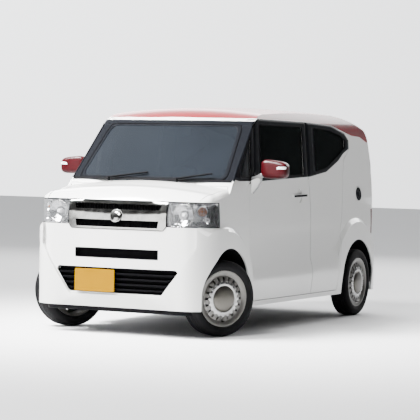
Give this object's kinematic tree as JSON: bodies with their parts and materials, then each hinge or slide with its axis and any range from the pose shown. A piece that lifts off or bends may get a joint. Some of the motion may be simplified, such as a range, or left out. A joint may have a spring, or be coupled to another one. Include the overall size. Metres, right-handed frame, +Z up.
{
  "type": "kei car",
  "caption": "Tall, boxy small passenger car with hinged doors, bonnet, tailgate and fuel lid, steered front wheels and rolling wheels.",
  "frame": {"origin": "on the ground under the middle of the car", "axes": "-Y forwards, +X the car's left side, +Z up"},
  "size_m": [1.956, 3.3901, 1.7213],
  "materials": {
    "white_paint": "pearl white paint, clear-coated",
    "red_paint": "dark crimson metallic paint, clear-coated",
    "chrome": "polished chrome",
    "black_plastic": "moulded black plastic, fine grain",
    "lamp_clear": "clear lamp lens over bright reflectors",
    "lamp_red": "red lamp lens",
    "screen_glass": "lightly tinted laminated glass",
    "dark_glass": "dark privacy glass",
    "underbody_black": "satin black coating",
    "cast_metal": "bare cast metal",
    "exhaust_steel": "dull stainless steel",
    "seat_fabric": "dark woven seat cloth",
    "dash_plastic": "soft grained plastic",
    "yellow_plate": "blank yellow enamel",
    "tyre_rubber": "black tyre rubber",
    "wheel_silver": "silver-grey wheel paint"
  },
  "bodies": {
    "root": {"body_shell": "white_paint", "roof_panel": "red_paint", "front_bumper": "white_paint", "rear_bumper": "white_paint", "front_wings": "white_paint", "upper_grille": "chrome", "grille_inserts": "black_plastic", "headlamps": "lamp_clear", "tail_lamps": "lamp_red", "fixed_glass": "screen_glass", "front_plate": "yellow_plate", "floor_pan": "underbody_black", "wheel_liners": "black_plastic", "front_subframe": "underbody_black", "engine_block": "cast_metal", "rear_axle": "underbody_black", "fuel_tank": "black_plastic", "exhaust": "exhaust_steel", "dashboard": "dash_plastic", "steering_wheel": "dash_plastic", "front_seats": "seat_fabric", "rear_seat": "seat_fabric", "wipers": "black_plastic"},
    "bonnet": {"bonnet_panel": "white_paint"},
    "tailgate": {"tailgate_panel": "white_paint", "tailgate_glass": "dark_glass"},
    "fuel_lid": {"fuel_lid": "white_paint"},
    "door_front_left": {"door_front_left_panel": "white_paint", "door_front_left_glass": "dark_glass", "mirror_left": "red_paint"},
    "wheel_front_left": {"tyre_front_left": "tyre_rubber", "rim_front_left": "wheel_silver"},
    "door_rear_left": {"door_rear_left_panel": "white_paint", "door_rear_left_glass": "dark_glass"},
    "wheel_rear_left": {"tyre_rear_left": "tyre_rubber", "rim_rear_left": "wheel_silver"},
    "knuckle_left": {"knuckle_left": "cast_metal"},
    "door_front_right": {"door_front_right_panel": "white_paint", "door_front_right_glass": "dark_glass", "mirror_right": "red_paint"},
    "wheel_front_right": {"tyre_front_right": "tyre_rubber", "rim_front_right": "wheel_silver"},
    "door_rear_right": {"door_rear_right_panel": "white_paint", "door_rear_right_glass": "dark_glass"},
    "wheel_rear_right": {"tyre_rear_right": "tyre_rubber", "rim_rear_right": "wheel_silver"},
    "knuckle_right": {"knuckle_right": "cast_metal"}
  },
  "joints": [
    {"name": "door_front_left_hinge", "type": "hinge", "parent": "root", "child": "door_front_left", "pos_m": [0.738, -0.885, 0.5], "axis": [0.063, 0, -0.998], "range_deg": [0, 68]},
    {"name": "door_rear_left_hinge", "type": "hinge", "parent": "root", "child": "door_rear_left", "pos_m": [0.738, 0.272, 0.5], "axis": [0.063, 0, -0.998], "range_deg": [0, 66]},
    {"name": "steering_left", "type": "hinge", "parent": "root", "child": "knuckle_left", "pos_m": [0.6074, -1.2375, 0.16715], "axis": [-0.2072, 0, 0.9783], "range_deg": [-5, 63]},
    {"name": "wheel_front_left_spin", "type": "hinge", "parent": "knuckle_left", "child": "wheel_front_left", "pos_m": [0.64414, -1.27054, 0.28138], "axis": [0.88, -0.4743, -0.0254], "continuous": true},
    {"name": "wheel_rear_left_spin", "type": "hinge", "parent": "root", "child": "wheel_rear_left", "pos_m": [0.6525, 1.2825, 0.281], "axis": [1, 0, 0], "continuous": true},
    {"name": "door_front_right_hinge", "type": "hinge", "parent": "root", "child": "door_front_right", "pos_m": [-0.738, -0.885, 0.5], "axis": [0.063, 0, 0.998], "range_deg": [0, 68]},
    {"name": "door_rear_right_hinge", "type": "hinge", "parent": "root", "child": "door_rear_right", "pos_m": [-0.738, 0.272, 0.5], "axis": [0.063, 0, 0.998], "range_deg": [0, 66]},
    {"name": "steering_right", "type": "hinge", "parent": "root", "child": "knuckle_right", "pos_m": [-0.6074, -1.2375, 0.16715], "axis": [0.2072, 0, 0.9783], "range_deg": [-5, 63]},
    {"name": "wheel_front_right_spin", "type": "hinge", "parent": "knuckle_right", "child": "wheel_front_right", "pos_m": [-0.64414, -1.20446, 0.28138], "axis": [0.88, -0.4743, 0.0254], "continuous": true},
    {"name": "wheel_rear_right_spin", "type": "hinge", "parent": "root", "child": "wheel_rear_right", "pos_m": [-0.6525, 1.2825, 0.281], "axis": [1, 0, 0], "continuous": true},
    {"name": "bonnet_hinge", "type": "hinge", "parent": "root", "child": "bonnet", "pos_m": [0, -1.172, 1.136], "axis": [-1, 0, 0], "range_deg": [0, 50]},
    {"name": "tailgate_hinge", "type": "hinge", "parent": "root", "child": "tailgate", "pos_m": [0, 1.64, 1.508], "axis": [1, 0, 0], "range_deg": [0, 75]},
    {"name": "fuel_lid_hinge", "type": "hinge", "parent": "root", "child": "fuel_lid", "pos_m": [0.706, 1.262, 1.031], "axis": [0, 0, -1], "range_deg": [0, 80]}
  ],
  "couplings": [
    {"joint": "steering_right", "follows": "steering_left", "ratio": 1}
  ]
}
